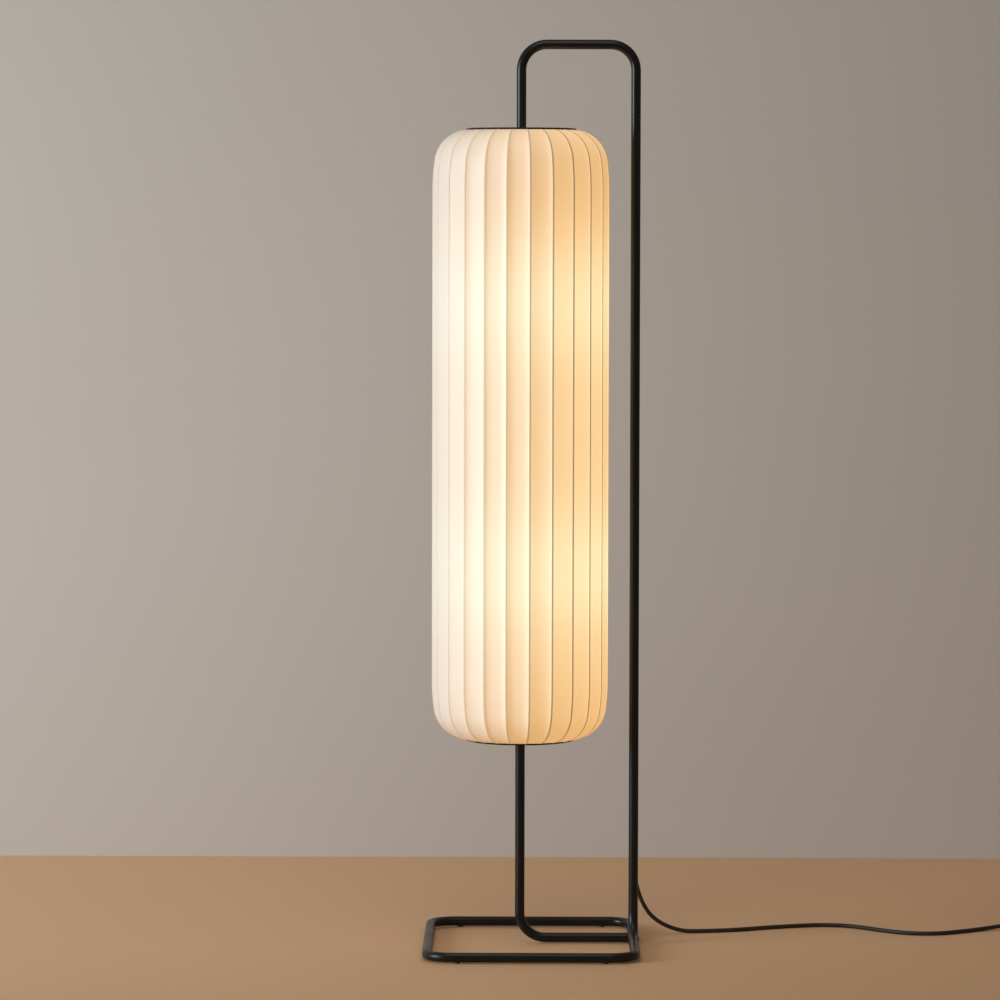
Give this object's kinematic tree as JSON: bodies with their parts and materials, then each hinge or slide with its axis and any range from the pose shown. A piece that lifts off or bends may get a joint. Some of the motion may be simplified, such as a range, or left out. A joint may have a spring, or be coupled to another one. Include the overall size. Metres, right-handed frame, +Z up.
{
  "type": "floor lamp",
  "caption": "Floor lamp with a tall ribbed silk shade that turns on a closed frame of bent black tube standing on a loop, lit by bulbs inside, with a foot switch and plug on its cord.",
  "frame": {"origin": "on the floor under the middle of the base loop", "axes": "+X to the right seen from the front, +Y to the back, +Z up"},
  "size_m": [1.19, 0.4257, 1.5],
  "materials": {
    "black_tube": "satin black powder coat",
    "black_metal": "satin black paint",
    "zinc_steel": "zinc plated",
    "dark_steel": "blackened",
    "clear_glide": "moulded",
    "bamboo": "split and planed",
    "silk": "plain woven silk on a thin lining, lit from inside",
    "white_flex": "soft sheath",
    "black_plastic": "moulded",
    "cord_sheath": "smooth sheath",
    "switch_plastic": "fine spark texture",
    "white_plastic": "moulded",
    "spring_steel": "drawn wire",
    "plug_plastic": "moulded",
    "plug_metal": "nickel plated",
    "brass_part": "turned",
    "holder_plastic": "moulded phenolic",
    "cap_metal": "rolled",
    "bulb_plastic": "moulded",
    "opal_globe": "opal, lit"
  },
  "bodies": {
    "frame": {"base_loop": "black_tube", "post_hanger_tube": "black_tube", "lower_stem_tube": "black_tube", "stem_tube": "black_tube", "upper_spigot": "zinc_steel", "lower_spigot": "zinc_steel", "spigot_screws": "dark_steel", "collar_screws": "dark_steel", "base_glides": "clear_glide", "top_collar": "black_metal", "bottom_collar": "black_metal", "inner_flex": "white_flex", "cord_gland": "black_plastic", "cord_run": "cord_sheath", "cord_coil": "cord_sheath", "coil_tie": "black_plastic", "switch_lower_shell": "switch_plastic", "switch_upper_shell": "switch_plastic", "switch_contacts": "white_plastic", "switch_spring": "spring_steel", "plug_body": "plug_plastic", "plug_pins": "plug_metal", "upper_bracket": "zinc_steel", "upper_nipple": "brass_part", "upper_nut": "brass_part", "upper_holder_cup": "holder_plastic", "upper_holder_skirt": "holder_plastic", "upper_holder_contact": "white_plastic", "upper_bulb_cap": "cap_metal", "upper_bulb_housing": "bulb_plastic", "upper_bulb_globe": "opal_globe", "upper_holder_lead": "white_flex", "lower_bracket": "zinc_steel", "lower_nipple": "brass_part", "lower_nut": "brass_part", "lower_holder_cup": "holder_plastic", "lower_holder_skirt": "holder_plastic", "lower_holder_contact": "white_plastic", "lower_bulb_cap": "cap_metal", "lower_bulb_housing": "bulb_plastic", "lower_bulb_globe": "opal_globe", "lower_holder_lead": "white_flex"},
    "shade": {"silk_cover": "silk", "shade_ribs": "bamboo", "top_ring": "black_metal", "bottom_ring": "black_metal", "top_spider": "black_metal", "bottom_spider": "black_metal"},
    "switch_button": {"switch_button": "switch_plastic"}
  },
  "joints": [
    {"name": "shade_turn", "type": "hinge", "parent": "frame", "child": "shade", "pos_m": [-0.019, 0.02, 0.845], "axis": [0, 0, 1], "continuous": true},
    {"name": "switch_press", "type": "slide", "parent": "frame", "child": "switch_button", "axis": [0, 0, -1], "range_m": [0, 0.003], "stiffness_N_per_m": 2000, "deforming": ["switch_spring"]}
  ]
}
